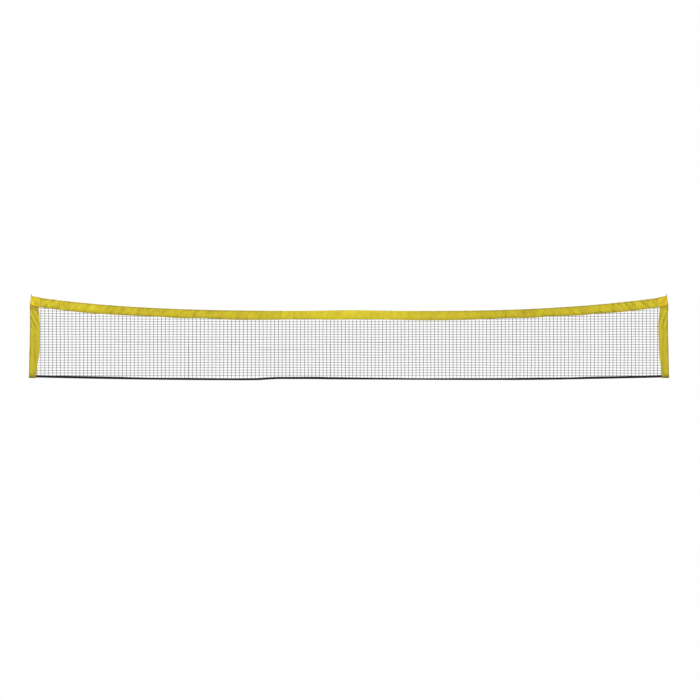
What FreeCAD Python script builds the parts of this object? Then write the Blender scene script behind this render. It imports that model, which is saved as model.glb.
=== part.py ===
import FreeCAD, Part
import Sketcher
import math
import os

Vec = FreeCAD.Vector

# Portable volleyball net on two pole tops, in millimetres.
# X runs along the net with the left pole at -X, -Y is the front and +Z is up.
# The origin is the middle of the whole object.

doc = FreeCAD.newDocument("volleyball_net")
sheet = doc.addObject("Spreadsheet::Sheet", "dims")

# Driving dimensions
DIMENSIONS = [
    ("overall_height", 819.0),
    ("pole_spacing", 6063.0),
    ("pole_diameter", 19.0),
    ("pole_wall", 1.2),
    ("pole_recess", 3.0),
    ("plug_depth", 25.0),
    ("plug_seat", 0.3),
    ("plug_collar", 3.0),
    ("plug_cone", 27.0),
    ("plug_nose_diameter", 11.0),
    ("fit_gap", 0.05),
    ("pin_diameter", 6.0),
    ("pin_depth", 22.0),
    ("pin_head_diameter", 8.0),
    ("pin_head_height", 17.0),
    ("pin_head_round", 2.0),
    ("cloth", 1.0),
    ("clearance", 0.3),
    ("sleeve_gap", 0.5),
    ("sleeve_lift", 19.7),
    ("sleeve_top_drop", 91.5),
    ("neck_drop", 64.0),
    ("belly_top_drop", 198.0),
    ("belly_low_drop", 378.0),
    ("hip_drop", 508.0),
    ("reach_top", 16.0),
    ("reach_foot", 25.0),
    ("width_neck", 81.5),
    ("width_belly", 95.5),
    ("width_hip", 87.7),
    ("width_foot", 65.0),
    ("hem_height", 32.0),
    ("corner_drop", 23.2),
    ("band_sag", 136.8),
    ("sag_power", 3.226),
    ("band_height", 88.0),
    ("band_bulge", 4.8),
    ("headline_diameter", 4.0),
    ("cord_room", 0.4),
    ("ferrule_length", 16.0),
    ("ferrule_wall", 1.6),
    ("ferrule_place", 24.0),
    ("tape_height", 19.0),
    ("tape_rise", 26.0),
    ("tape_cord_diameter", 4.0),
    ("patch_width", 90.5),
    ("patch_side_drop", 88.0),
    ("patch_shoulder_drop", 57.0),
    ("patch_lip", 5.0),
    ("eyelet_bore", 9.0),
    ("eyelet_flange", 13.0),
    ("eyelet_metal", 0.6),
    ("mesh_thickness", 3.0),
    ("mesh_cord", 3.0),
    ("mesh_tuck", 12.0),
    ("mesh_rise", 30.0),
    ("mesh_columns", 50),
    ("mesh_rows", 6),
]
for row, (alias, value) in enumerate(DIMENSIONS, start=1):
    sheet.set("A%d" % row, alias)
    sheet.set("B%d" % row, str(value))
    sheet.setAlias("B%d" % row, alias)
doc.recompute()


def size(alias):
    return float(getattr(sheet, alias))


# Levels and radii that several pieces share
axis_x = size("pole_spacing") / 2
top_z = size("overall_height") / 2
low_z = -top_z
pole_r = size("pole_diameter") / 2
cloth = size("cloth")
clearance = size("clearance")
patch_top = top_z - size("pin_head_height") - size("eyelet_metal") - clearance
corner_z = top_z - size("corner_drop")
sleeve_low = low_z + size("sleeve_lift")
sleeve_top = top_z - size("sleeve_top_drop")
headline_r = size("headline_diameter") / 2
headline_fold = headline_r + size("cord_room") + cloth
tape_cord_r = size("tape_cord_diameter") / 2
tape_fold = tape_cord_r + size("cord_room") + cloth
slit_r = size("mesh_thickness") / 2 + clearance
mouth_r = slit_r + cloth
nose_r = pole_r + size("sleeve_gap") + cloth


# Turned pieces: a closed outline of (radius, height) expressions about Z

def turned_body(label, outline, place):
    body = doc.addObject("PartDesign::Body", label)
    body.Label = label
    sketch = body.newObject("Sketcher::SketchObject", label + "_outline")
    plane = [f for f in body.Origin.OriginFeatures if f.Role == "XZ_Plane"][0]
    sketch.AttachmentSupport = [(plane, "")]
    sketch.MapMode = "FlatFace"
    corners = []
    for radius, height in outline:
        corners.append(Vec(number_of(radius), number_of(height), 0))
    count = len(corners)
    for i in range(count):
        sketch.addGeometry(Part.LineSegment(corners[i], corners[(i + 1) % count]), False)
    for i in range(count):
        sketch.addConstraint(Sketcher.Constraint("Coincident", i, 2, (i + 1) % count, 1))
    for i, (radius, height) in enumerate(outline):
        hold_corner(sketch, i, "DistanceX", -2, radius, corners[i].x)
        hold_corner(sketch, i, "DistanceY", -1, height, corners[i].y)
    turn = body.newObject("PartDesign::Revolution", label + "_turn")
    turn.Profile = sketch
    turn.ReferenceAxis = (sketch, ["V_Axis"])
    turn.Angle = 360.0
    sketch.Visibility = False
    for axis, expression in zip("xyz", place):
        body.setExpression("Placement.Base." + axis, expression)
    return body


def number_of(expression):
    return float(sheet.evalExpression(expression))


def hold_corner(sketch, i, kind, axis_line, expression, value):
    if expression == "0":
        sketch.addConstraint(Sketcher.Constraint("PointOnObject", i, 1, axis_line))
        return
    index = sketch.addConstraint(Sketcher.Constraint(kind, -1, 1, i, 1, value))
    sketch.renameConstraint(index, "corner%d_%s" % (i, kind[-1].lower()))
    sketch.setExpression("Constraints[%d]" % index, expression)


def round_edge(body, radius_alias, height):
    doc.recompute()
    feature = body.Tip
    for number, edge in enumerate(feature.Shape.Edges, start=1):
        box = edge.BoundBox
        if box.ZLength < 1e-6 and abs(box.ZMax - height) < 1e-6:
            name = "Edge%d" % number
    rounding = body.newObject("PartDesign::Fillet", body.Label + "_round")
    rounding.Base = (feature, [name])
    rounding.setExpression("Radius", "dims." + radius_alias)
    return rounding


TUBE_LENGTH = "(dims.overall_height - dims.sleeve_top_drop - dims.sleeve_lift - dims.pole_recess)"
TUBE_LOW = "(dims.sleeve_lift + dims.pole_recess - dims.overall_height / 2)"
TUBE_TOP = "(dims.overall_height / 2 - dims.sleeve_top_drop)"
BORE_R = "(dims.pole_diameter / 2 - dims.pole_wall)"
SEAT_R = "(dims.pole_diameter / 2 - dims.pole_wall + dims.plug_seat)"
PIN_R = "(dims.pin_diameter / 2)"
PIN_HOLE_R = "(dims.pin_diameter / 2 + dims.fit_gap)"
SPIGOT_R = "(dims.pole_diameter / 2 - dims.pole_wall + dims.plug_seat - dims.fit_gap)"
COLLAR_TOP = "(dims.plug_depth + dims.plug_collar)"
PLUG_TOP = "(dims.plug_depth + dims.plug_collar + dims.plug_cone)"
PIN_LOW = ("(dims.overall_height / 2 - dims.sleeve_top_drop + dims.plug_collar"
           " + dims.plug_cone - dims.pin_depth)")
PIN_LENGTH = ("(dims.sleeve_top_drop - dims.plug_collar - dims.plug_cone"
              " + dims.pin_depth)")
SHANK = "(" + PIN_LENGTH + " - dims.pin_head_height)"
EYELET_LOW = ("(dims.overall_height / 2 - dims.pin_head_height - dims.clearance"
              " - 2 * dims.eyelet_metal - dims.cloth)")


def pole_tube(side, axis):
    """Steel tube, open below for the next length of pole and reamed above for its plug."""
    outline = [
        (BORE_R, "0"),
        ("dims.pole_diameter / 2", "0"),
        ("dims.pole_diameter / 2", TUBE_LENGTH),
        (SEAT_R, TUBE_LENGTH),
        (SEAT_R, TUBE_LENGTH + " - dims.plug_depth"),
        (BORE_R, TUBE_LENGTH + " - dims.plug_depth"),
    ]
    return turned_body(side + "_pole_tube", outline, (axis, "0", TUBE_LOW))


def pole_plug(side, axis):
    """Moulded plug that closes the tube and carries the pin."""
    nose = "dims.plug_nose_diameter / 2"
    outline = [
        ("0", "0"),
        (SPIGOT_R, "0"),
        (SPIGOT_R, "dims.plug_depth"),
        ("dims.pole_diameter / 2", "dims.plug_depth"),
        ("dims.pole_diameter / 2", COLLAR_TOP),
        (nose, PLUG_TOP),
        (PIN_HOLE_R, PLUG_TOP),
        (PIN_HOLE_R, PLUG_TOP + " - dims.pin_depth"),
        ("0", PLUG_TOP + " - dims.pin_depth"),
    ]
    return turned_body(side + "_pole_plug", outline, (axis, "0", TUBE_TOP + " - dims.plug_depth"))


def corner_pin(side, axis):
    """Steel pin with a round head that stands out at the net's corner."""
    head = "dims.pin_head_diameter / 2"
    outline = [
        ("0", "0"),
        (PIN_R, "0"),
        (PIN_R, SHANK),
        (head, SHANK),
        (head, PIN_LENGTH),
        ("0", PIN_LENGTH),
    ]
    body = turned_body(side + "_corner_pin", outline, (axis, "0", PIN_LOW))
    round_edge(body, "pin_head_round", number_of(PIN_LENGTH))
    return body


def corner_eyelet(side, axis):
    """Pressed ring that lines the hole over the pin."""
    bore = "dims.eyelet_bore / 2"
    barrel = "dims.eyelet_bore / 2 + dims.eyelet_metal"
    flange = "dims.eyelet_flange / 2"
    metal = "dims.eyelet_metal"
    grip = "dims.eyelet_metal + dims.cloth"
    full = "2 * dims.eyelet_metal + dims.cloth"
    outline = [
        (bore, "0"),
        (flange, "0"),
        (flange, metal),
        (barrel, metal),
        (barrel, grip),
        (flange, grip),
        (flange, full),
        (bore, full),
    ]
    return turned_body(side + "_corner_eyelet", outline, (axis, "0", EYELET_LOW))


# Curved lines in the plane of the net: tangent arcs through a few stations

def level_line(base, rise):
    """Height and slope of a sagging edge as functions of x."""
    power = size("sag_power")

    def height(x):
        return base + rise * (abs(x) / axis_x) ** power

    def slope(x):
        return math.copysign(rise * power / axis_x * (abs(x) / axis_x) ** (power - 1), x)

    return height, slope


BAND_LINE = level_line(corner_z - size("band_sag"), size("band_sag"))
TAPE_LINE = level_line(low_z, size("tape_rise"))
HALF_SPANS = 4


def station(x, line, inset):
    """Point on the line, moved inset to its upper side, and the line's direction."""
    height, slope = line
    direction = Vec(1, 0, slope(x)).normalize()
    return Vec(x, 0, height(x)) + Vec(-direction.z, 0, direction.x) * inset, direction


def turn_between(first, second):
    return math.atan2(first.x * second.z - first.z * second.x, first * second)


def arc_edge(start, end, turn):
    """Arc that leaves its chord by the angle turn."""
    if abs(turn) < 1e-7:
        return Part.LineSegment(start, end).toShape()
    chord = end - start
    middle = (start + end) * 0.5 + Vec(-chord.z, 0, chord.x) * (0.5 * math.tan(turn / 2))
    return Part.Arc(start, middle, end).toShape()


def two_arcs(first, second):
    """The pair of tangent arcs from one station to the next."""
    (start, leaving), (end, arriving) = first, second
    step = end - start
    along = step * (leaving + arriving)
    bend = 2 * (1 - leaving * arriving)
    if bend < 1e-12:
        reach = (step * step) / (2 * along)
    else:
        reach = (math.sqrt(along * along + bend * (step * step)) - along) / bend
    middle = (start + end + (leaving - arriving) * reach) * 0.5
    return [
        arc_edge(start, middle, turn_between(middle - start, leaving)),
        arc_edge(middle, end, turn_between(arriving, end - middle)),
    ]


def sagging_wire(reach, line, inset):
    """The line from -reach to +reach."""
    places = [reach * span / HALF_SPANS for span in range(-HALF_SPANS, HALF_SPANS + 1)]
    stations = [station(x, line, inset) for x in places]
    edges = []
    for first, second in zip(stations, stations[1:]):
        edges += two_arcs(first, second)
    return Part.Wire(edges)


def swept(label, wire, section):
    """Solid of a closed section, drawn as (across, above), carried along the wire."""
    first = wire.Edges[0]
    start = first.valueAt(first.FirstParameter)
    along = first.tangentAt(first.FirstParameter)
    above = Vec(-along.z, 0, along.x)
    edges = []
    for points in section:
        placed = [start + Vec(0, across, 0) + above * high for across, high in points]
        if len(placed) == 2:
            edges.append(Part.LineSegment(*placed).toShape())
        else:
            edges.append(Part.Arc(*placed).toShape())
    profile = Part.Wire(edges)
    solid = wire.makePipeShell([profile], True, False)
    expected = Part.Face(profile).Area * wire.Length
    print(label, "volume %.0f, section times length %.0f" % (solid.Volume, expected))
    return solid


def folded_section(fold, bulge, depth, side):
    """Tape folded over a cord; side is -1 where it hangs and +1 where it stands."""
    half = depth / 2
    inner_fold = fold - cloth
    inner_mouth = mouth_r - cloth
    return [
        [(-mouth_r, side * depth), (-bulge, side * half), (-fold, side * fold)],
        [(-fold, side * fold), (0, 0), (fold, side * fold)],
        [(fold, side * fold), (bulge, side * half), (mouth_r, side * depth)],
        [(mouth_r, side * depth), (inner_mouth, side * depth)],
        [(inner_mouth, side * depth), (bulge - cloth, side * half), (inner_fold, side * fold)],
        [(inner_fold, side * fold), (0, side * cloth), (-inner_fold, side * fold)],
        [(-inner_fold, side * fold), (cloth - bulge, side * half), (-inner_mouth, side * depth)],
        [(-inner_mouth, side * depth), (-mouth_r, side * depth)],
    ]


def round_section(radius):
    return [
        [(-radius, 0), (0, radius), (radius, 0)],
        [(radius, 0), (0, -radius), (-radius, 0)],
    ]


def shaped(label, shape):
    piece = doc.addObject("Part::Feature", label)
    piece.Label = label
    piece.Shape = shape
    return piece


def mirrored(label, source):
    piece = doc.addObject("Part::Mirroring", label)
    piece.Label = label
    piece.Source = source
    piece.Base = Vec(0, 0, 0)
    piece.Normal = Vec(1, 0, 0)
    return piece


# Sleeve sections: a flat cloth tube, round at the pole and thin at the net

def sleeve_reach(z):
    """How far the cloth stands outside the pole's axis."""
    belly = sleeve_top - size("belly_top_drop")
    share = min(max((belly - z) / (belly - sleeve_low), 0.0), 1.0)
    ease = share * share * (3 - 2 * share)
    return size("reach_top") + (size("reach_foot") - size("reach_top")) * ease


def sleeve_stations():
    """Height and flat width at each station, from the top down."""
    hem_top = sleeve_low + size("hem_height")
    hip = sleeve_top - size("hip_drop")
    share = (hip - hem_top) / (hip - sleeve_low)
    hem_width = size("width_hip") + (size("width_foot") - size("width_hip")) * share
    return [
        (sleeve_top, size("width_neck")),
        (sleeve_top - size("neck_drop"), size("width_neck")),
        (sleeve_top - size("belly_top_drop"), size("width_belly")),
        (sleeve_top - size("belly_low_drop"), size("width_belly")),
        (hip, size("width_hip")),
        (hem_top, hem_width),
        (sleeve_low, size("width_foot")),
    ]


def cloth_ring(z, reach, inner, big, small):
    """Closed wire round the left pole: big radius at the pole, small at the net side."""
    back = reach - big
    tip = inner - small
    lean = math.asin((big - small) / tip)
    across, outward = math.sin(lean), math.cos(lean)
    half_lean = lean / 2
    corner = math.sqrt(0.5)
    tip_turn = (math.pi / 2 + lean) / 2

    def point(a, y):
        return Vec(a - axis_x, y, z)

    edges = []
    for side in (1, -1):
        pieces = [
            [(-reach, 0), (-back - big * corner, side * big * corner), (-back, side * big)],
            [(-back, side * big), (0, side * big)],
            [(0, side * big), (big * math.sin(half_lean), side * big * math.cos(half_lean)),
             (big * across, side * big * outward)],
            [(big * across, side * big * outward), (tip + small * across, side * small * outward)],
            [(tip + small * across, side * small * outward),
             (tip + small * math.cos(tip_turn - lean), side * small * math.sin(tip_turn - lean)),
             (inner, 0)],
        ]
        if side < 0:
            pieces = [list(reversed(points)) for points in reversed(pieces)]
        for points in pieces:
            placed = [point(a, y) for a, y in points]
            if len(placed) == 2:
                edges.append(Part.LineSegment(*placed).toShape())
            else:
                edges.append(Part.Arc(*placed).toShape())
    return Part.Wire(edges)


def sleeve_solid(stations, grow, tip_r, past):
    """Loft of the rings, grown outwards by grow and reaching past the net side."""
    rings = []
    for z, width in stations:
        reach = sleeve_reach(z)
        inner = width - reach + past
        rings.append(cloth_ring(z, reach + grow, inner, nose_r + grow, tip_r))
    return Part.makeLoft(rings, True, False)


def stretched(stations, above, below):
    """The same stations with the two end ones moved beyond the cloth."""
    (top, top_width), (foot, foot_width) = stations[0], stations[-1]
    return [(top + above, top_width)] + stations[1:-1] + [(foot - below, foot_width)]


def left_sleeve():
    stations = sleeve_stations()
    outer = sleeve_solid(stations, 0, slit_r + cloth, 0)
    hollow = sleeve_solid(stretched(stations, 1, 1), -cloth, slit_r, 2 * cloth)
    return outer.cut(hollow)


def left_hem():
    """Binding folded round the foot of the sleeve, open for the pole."""
    foot = sleeve_stations()[-2:]
    gap = clearance + cloth
    outer = sleeve_solid(stretched(foot, 0, gap), gap, mouth_r + gap, gap)
    seat = sleeve_solid(stretched(foot, 1, clearance), clearance, mouth_r + clearance, clearance)
    hollow = sleeve_solid(stretched(foot, 1, 2 * gap), -cloth, slit_r, -cloth)
    return outer.cut(seat).cut(hollow)


# Corner patch: a pocket drawn as the meeting of a front, a plan and a side outline

def prism(points, direction):
    wire = Part.makePolygon(points + points[:1])
    return Part.Face(wire).extrude(direction)


def patch_solid(inset, past):
    """Pocket form; inset moves its walls in, past takes it beyond its open edges."""
    reach = size("reach_top") + clearance + cloth - inset
    big = nose_r + clearance + cloth - inset
    band_r = size("band_bulge") + clearance + cloth - inset
    low = patch_top - size("patch_side_drop") - past
    shoulder = patch_top - size("patch_shoulder_drop")
    top = patch_top - inset
    end = size("patch_width") + past
    pin_reach = size("pin_diameter") / 2 + size("cord_room") + size("headline_diameter")
    corner = pin_reach + clearance + cloth - inset
    band_top = BAND_LINE[0](axis_x - size("patch_width")) + clearance + cloth
    slope = (patch_top - band_top) / (size("patch_width") - corner)
    band_low = band_top - size("band_height") - size("patch_lip") - past
    front = [
        (-reach, low),
        (-reach, sleeve_top),
        (-corner, top - 2 * corner),
        (-corner, top),
        (corner, top),
        (end, top - slope * (end - corner)),
        (end, band_low),
    ]
    depth = 2 * big
    front = prism([Vec(a - axis_x, -depth, z) for a, z in front], Vec(0, 2 * depth, 0))
    ring = cloth_ring(low - depth, reach, end + 3 * band_r, big, band_r)
    plan = Part.Face(ring).extrude(Vec(0, 0, top - low + 2 * depth))
    crown = corner + cloth
    side = [(-big, low - depth), (-big, shoulder), (-crown, top - cloth), (-crown + cloth, top)]
    side += [(-y, z) for y, z in reversed(side)]
    side = prism([Vec(-axis_x - 2 * reach, y, z) for y, z in side], Vec(2 * reach + 2 * end, 0, 0))
    return front.common(plan).common(side)


def left_patch():
    outer = patch_solid(0, 0)
    hollow = patch_solid(cloth, 2 * cloth)
    hole_r = size("eyelet_bore") / 2 + size("eyelet_metal") + size("fit_gap")
    hole = Part.makeCylinder(hole_r, 4 * cloth, Vec(-axis_x, 0, patch_top - 2 * cloth))
    return outer.cut(hollow).cut(hole)


# Net, band, tape and cords

def band_reach():
    """The band's ends stop where their lower corners come up to the necks of the sleeves."""
    corner = axis_x - (size("width_neck") - size("reach_top")) - clearance
    slope = BAND_LINE[1](corner)
    return corner - size("band_height") * slope / math.hypot(1, slope)


def top_band():
    wire = sagging_wire(band_reach(), BAND_LINE, 0)
    section = folded_section(headline_fold, size("band_bulge"), size("band_height"), -1)
    return swept("top_band", wire, section)


def tape_reach():
    foot = size("width_foot") - size("reach_foot")
    hem_top = sleeve_stations()[-2]
    hem_edge = max(foot, hem_top[1] - sleeve_reach(hem_top[0])) + clearance + cloth
    return axis_x - hem_edge - clearance


def bottom_tape():
    wire = sagging_wire(tape_reach(), TAPE_LINE, 0)
    section = folded_section(tape_fold, tape_fold, size("tape_height"), 1)
    return swept("bottom_tape", wire, section)


def bottom_cord():
    wire = sagging_wire(tape_reach(), TAPE_LINE, tape_fold)
    return swept("bottom_cord", wire, round_section(tape_cord_r))


def eye_radius():
    return size("pin_diameter") / 2 + size("cord_room") + headline_r


def headline_cord():
    """Cord in the band's fold, with an eye round each corner pin."""
    wire = sagging_wire(axis_x - eye_radius(), BAND_LINE, -headline_fold)
    cord = swept("headline_cord", wire, round_section(headline_r))
    eye_z = station(axis_x - eye_radius(), BAND_LINE, -headline_fold)[0].z
    for side, facing in ((-1, 0), (1, 180)):
        eye = Part.makeTorus(eye_radius(), headline_r)
        eye.rotate(Vec(), Vec(0, 0, 1), facing)
        eye.translate(Vec(side * axis_x, 0, eye_z))
        cord = cord.fuse(eye)
    return cord


def left_ferrule():
    """Crimped sleeve that closes the cord's eye."""
    place = -axis_x + size("ferrule_place")
    point, along = station(place, BAND_LINE, -headline_fold)
    bore = headline_r + clearance
    outer = Part.makeCylinder(bore + size("ferrule_wall"), size("ferrule_length"), point, along)
    return outer.cut(Part.makeCylinder(bore, size("ferrule_length"), point, along))


def edge_at(z):
    """Distance of the sleeve's net side from the pole's axis at a height."""
    stations = sleeve_stations()
    for (upper, upper_width), (lower, lower_width) in zip(stations, stations[1:]):
        if lower <= z <= upper:
            share = (upper - z) / (upper - lower)
            width = upper_width + (lower_width - upper_width) * share
            return width - sleeve_reach(z)
    return stations[0][1] - sleeve_reach(z)


def net_mesh():
    """Knotted net drawn as one face with its gaps."""
    tuck = size("mesh_tuck")
    thick = size("mesh_thickness")
    band_top, tape_low = BAND_LINE[0], TAPE_LINE[0]
    rise = size("mesh_rise")
    inside_tape = tape_fold + tape_cord_r + clearance

    def upper(x):
        return band_top(x) - rise

    def lower(x):
        return tape_low(x) + inside_tape

    left = -axis_x
    hem_top = sleeve_low + size("hem_height") + clearance
    side = [Vec(-tape_reach(), 0, lower(tape_reach()))]
    side.append(Vec(-tape_reach(), 0, hem_top))
    for z, _ in reversed(sleeve_stations()[1:-2]):
        side.append(Vec(left + edge_at(z) - tuck, 0, z))
    side.append(Vec(left + edge_at(sleeve_top) - tuck, 0, sleeve_top - tuck))
    side.append(Vec(-band_reach(), 0, upper(band_reach())))
    other = [Vec(-p.x, 0, p.z) for p in reversed(side)]
    edges = chain(side)
    edges += sagging_wire(band_reach(), BAND_LINE, 0).translated(Vec(0, 0, -rise)).Edges
    edges += chain(other)
    bottom = sagging_wire(tape_reach(), TAPE_LINE, 0).translated(Vec(0, 0, inside_tape))
    edges += bottom.Edges
    outline = Part.Wire(Part.sortEdges(edges)[0])
    face = Part.Face([outline] + net_gaps())
    face.translate(Vec(0, -thick / 2, 0))
    return face.extrude(Vec(0, thick, 0))


def chain(points):
    return [Part.LineSegment(a, b).toShape() for a, b in zip(points, points[1:])]


def net_gaps():
    """Four-sided gaps between the band, the tape and the two sleeves."""
    columns, rows = int(size("mesh_columns")), int(size("mesh_rows"))
    half_cord = size("mesh_cord") / 2
    belly = size("width_belly") - size("reach_top")
    half_net = axis_x - belly
    pitch = 2 * half_net / columns

    def row_height(x, row):
        low = TAPE_LINE[0](x) + size("tape_height") - half_cord
        high = BAND_LINE[0](x) - size("band_height") + half_cord
        return low + (high - low) * row / rows

    def column_place(column, z):
        end = min(axis_x - edge_at(z), tape_reach())
        if column == 0:
            return -end
        if column == columns:
            return end
        return -half_net + pitch * column

    gaps = []
    for column in range(columns):
        for row in range(rows):
            corners = []
            for across, up in ((0, 0), (1, 0), (1, 1), (0, 1)):
                guess = -half_net + pitch * (column + across)
                z = row_height(guess, row + up) + half_cord * (1 - 2 * up)
                x = column_place(column + across, z) + half_cord * (1 - 2 * across)
                corners.append(Vec(x, 0, z))
            gaps.append(Part.makePolygon(corners + corners[:1]))
    return gaps


# The pieces, side by side

for side_name, sign in (("left", "-"), ("right", "")):
    pole_axis = sign + "dims.pole_spacing / 2"
    pole_tube(side_name, pole_axis)
    pole_plug(side_name, pole_axis)
    corner_pin(side_name, pole_axis)
    corner_eyelet(side_name, pole_axis)

for name, maker in (("sleeve", left_sleeve), ("sleeve_hem", left_hem),
                    ("corner_patch", left_patch), ("cord_ferrule", left_ferrule)):
    source = shaped("left_" + name, maker())
    mirrored("right_" + name, source)

for name, maker in (("top_band", top_band), ("headline_cord", headline_cord),
                    ("net_mesh", net_mesh), ("bottom_tape", bottom_tape),
                    ("bottom_cord", bottom_cord)):
    shaped(name, maker())

doc.recompute()

for item in doc.Objects:
    if "Invalid" in item.State or "Error" in item.State:
        raise RuntimeError("%s did not recompute: %s" % (item.Label, item.State))

os.makedirs("parts", exist_ok=True)
KEPT = ("PartDesign::Body", "Part::Feature", "Part::Mirroring")
for item in doc.Objects:
    if item.TypeId not in KEPT:
        continue
    if item.Shape.isNull() or not item.Shape.isValid():
        raise RuntimeError("%s has no valid shape" % item.Label)
    print(item.Label, len(item.Shape.Solids), "solid", "%.0f mm3" % item.Shape.Volume)
    item.Shape.exportStep("parts/%s.step" % item.Label)
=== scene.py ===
import bpy
import bmesh
import math
import random
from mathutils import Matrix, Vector, noise


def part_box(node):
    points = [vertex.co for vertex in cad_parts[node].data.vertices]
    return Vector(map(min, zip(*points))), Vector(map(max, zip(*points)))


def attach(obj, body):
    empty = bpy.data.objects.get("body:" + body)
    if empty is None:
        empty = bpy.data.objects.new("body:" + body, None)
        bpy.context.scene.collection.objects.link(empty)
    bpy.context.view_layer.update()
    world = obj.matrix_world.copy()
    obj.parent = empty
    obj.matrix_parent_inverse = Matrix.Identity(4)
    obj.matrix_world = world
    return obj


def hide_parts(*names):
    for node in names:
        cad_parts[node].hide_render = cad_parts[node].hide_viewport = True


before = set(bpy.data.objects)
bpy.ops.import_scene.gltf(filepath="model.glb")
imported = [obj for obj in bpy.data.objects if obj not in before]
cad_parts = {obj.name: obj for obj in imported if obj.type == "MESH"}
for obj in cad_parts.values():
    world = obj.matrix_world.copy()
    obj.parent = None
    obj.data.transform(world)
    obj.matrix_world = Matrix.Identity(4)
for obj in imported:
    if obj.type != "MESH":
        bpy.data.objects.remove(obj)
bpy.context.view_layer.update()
rng = random.Random(7)  # lean of the knots

# Places read from the frame. X runs along the net, -Y is the front, +Z is up.
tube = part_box("left_pole_tube")
POLE_X = -(tube[0].x + tube[1].x) / 2
POLE_R = (tube[1].x - tube[0].x) / 2
SLEEVE_LOW, SLEEVE_TOP = (corner.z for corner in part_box("left_sleeve"))
SLEEVE_LENGTH = SLEEVE_TOP - SLEEVE_LOW
PATCH_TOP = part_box("left_corner_patch")[1].z
PATCH_REACH = -POLE_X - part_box("left_corner_patch")[0].x
PATCH_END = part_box("left_corner_patch")[1].x + POLE_X
PIN_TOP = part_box("left_corner_pin")[1].z
TAPE_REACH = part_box("bottom_tape")[1].x
LOW_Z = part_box("bottom_tape")[0].z

# Sizes of the cloth, the cords and the twine
CLOTH = 0.0009
WEAVE = 0.0009
WEBBING = 0.0013
BAND_HEIGHT = 0.088
BAND_SAG = 0.1368
SAG_POWER = 3.226
PIN_OVER_BAND = 0.0232
BAND_MIDDLE = PIN_TOP - PIN_OVER_BAND - BAND_SAG
TAPE_HEIGHT = 0.0235
TAPE_RISE = 0.026
MOUTH = 0.0028
BULGE = 0.0050
FOLD = 0.0034
CORD_R = 0.002
EYE_R = 0.0054
TWINE_R = 0.0020
HEAVY_SHARE = 1.4
LEVEL_SAG = 0.0007
KNOT_R = 0.0046
KNOT_REACH = 0.0042
TUCK = 0.012
EYELET_HOLE_R = 0.0056
STITCH_R = 0.00045
STITCH_PITCH = 0.009


def ease(share):
    """Smooth step from 0 to 1."""
    share = min(max(share, 0.0), 1.0)
    return share * share * (3 - 2 * share)


def bell(x, middle, width):
    return math.exp(-((x - middle) / width) ** 2)


def value_at(stations, place):
    """Smooth curve through (place, value) stations that are in rising order."""
    last = len(stations) - 1
    for i in range(last):
        if place <= stations[i + 1][0] or i == last - 1:
            break
    before, start, end, after = (stations[max(i - 1, 0)], stations[i], stations[i + 1],
                                 stations[min(i + 2, last)])
    gap_shade = end[0] - start[0]
    share = min(max((place - start[0]) / gap_shade, 0.0), 1.0)
    rise_start = (end[1] - before[1]) / (end[0] - before[0]) * gap_shade
    rise_end = (after[1] - start[1]) / (after[0] - start[0]) * gap_shade
    square, cube = share ** 2, share ** 3
    return (start[1] * (2 * cube - 3 * square + 1) + rise_start * (cube - 2 * square + share)
            + end[1] * (3 * square - 2 * cube) + rise_end * (cube - square))


def smooth_path(points, steps):
    """steps + 1 points, evenly spaced along the smooth curve through the given ones."""
    ends = [points[0] * 2 - points[1]] + points + [points[-1] * 2 - points[-2]]
    fine = []
    for a, b, c, d in zip(ends, ends[1:], ends[2:], ends[3:]):
        for step in range(12):
            t = step / 12
            fine.append((b * 2 + (c - a) * t + (a * 2 - b * 5 + c * 4 - d) * t ** 2
                         + (b * 3 - a - c * 3 + d) * t ** 3) * 0.5)
    fine.append(points[-1])
    lengths = lengths_along(fine)
    path, k = [], 0
    for step in range(steps + 1):
        target = lengths[-1] * step / steps
        while k < len(fine) - 2 and lengths[k + 1] < target:
            k += 1
        gap_shade = max(lengths[k + 1] - lengths[k], 1e-9)
        path.append(fine[k].lerp(fine[k + 1], min((target - lengths[k]) / gap_shade, 1.0)))
    return path


def ruffle(*place):
    """Smooth noise between -1 and 1 at up to three coordinates."""
    return noise.noise(Vector((*place, 0.0, 0.0)[:3]))


# Lines of the net, as heights over x

def band_line(x):
    """The band's top fold, with the low swell at mid span and a slacker right half."""
    swell = 0.0082 * bell(x, 0.03, 0.34) - 0.0034 * bell(x, 1.45, 0.75)
    return BAND_MIDDLE + BAND_SAG * (abs(x) / POLE_X) ** SAG_POWER + swell


def band_depth(x):
    """Height of the band's cloth, which the sewing draws in here and there."""
    return value_at(((-2.95, 0.089), (-2.5, 0.092), (-2.3, 0.088), (-1.85, 0.082), (-1.6, 0.086),
                     (-1.4, 0.081), (-1.1, 0.089), (-0.75, 0.086), (-0.4, 0.080), (-0.15, 0.090),
                     (0.3, 0.086), (0.9, 0.090), (1.3, 0.084), (1.5, 0.081), (1.75, 0.086),
                     (1.9, 0.080), (2.2, 0.090), (2.35, 0.086), (2.5, 0.092), (2.95, 0.092)), x)


def tape_line(x):
    """The tape's lower fold, drawn up by a centimetre left of the middle."""
    lift = value_at(((-1.9, -0.0002), (-1.3, -0.0012), (-1.0, -0.0011), (-0.87, 0.0),
                     (-0.82, 0.0033), (-0.764, 0.0070), (-0.70, 0.0102), (-0.6, 0.0110),
                     (-0.33, 0.0105), (-0.2, 0.0083), (0.05, 0.0071), (0.24, 0.0063),
                     (0.43, 0.0055), (0.62, 0.0043), (0.9, 0.0026), (1.2, 0.0010),
                     (1.4, 0.0002), (1.58, -0.0012), (1.96, -0.0008), (2.3, 0.0)), x)
    slack = 0.0013 + 0.0017 * ease((2.6 - abs(x)) / 0.8)
    return LOW_Z - slack + TAPE_RISE * (abs(x) / POLE_X) ** SAG_POWER + lift


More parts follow.
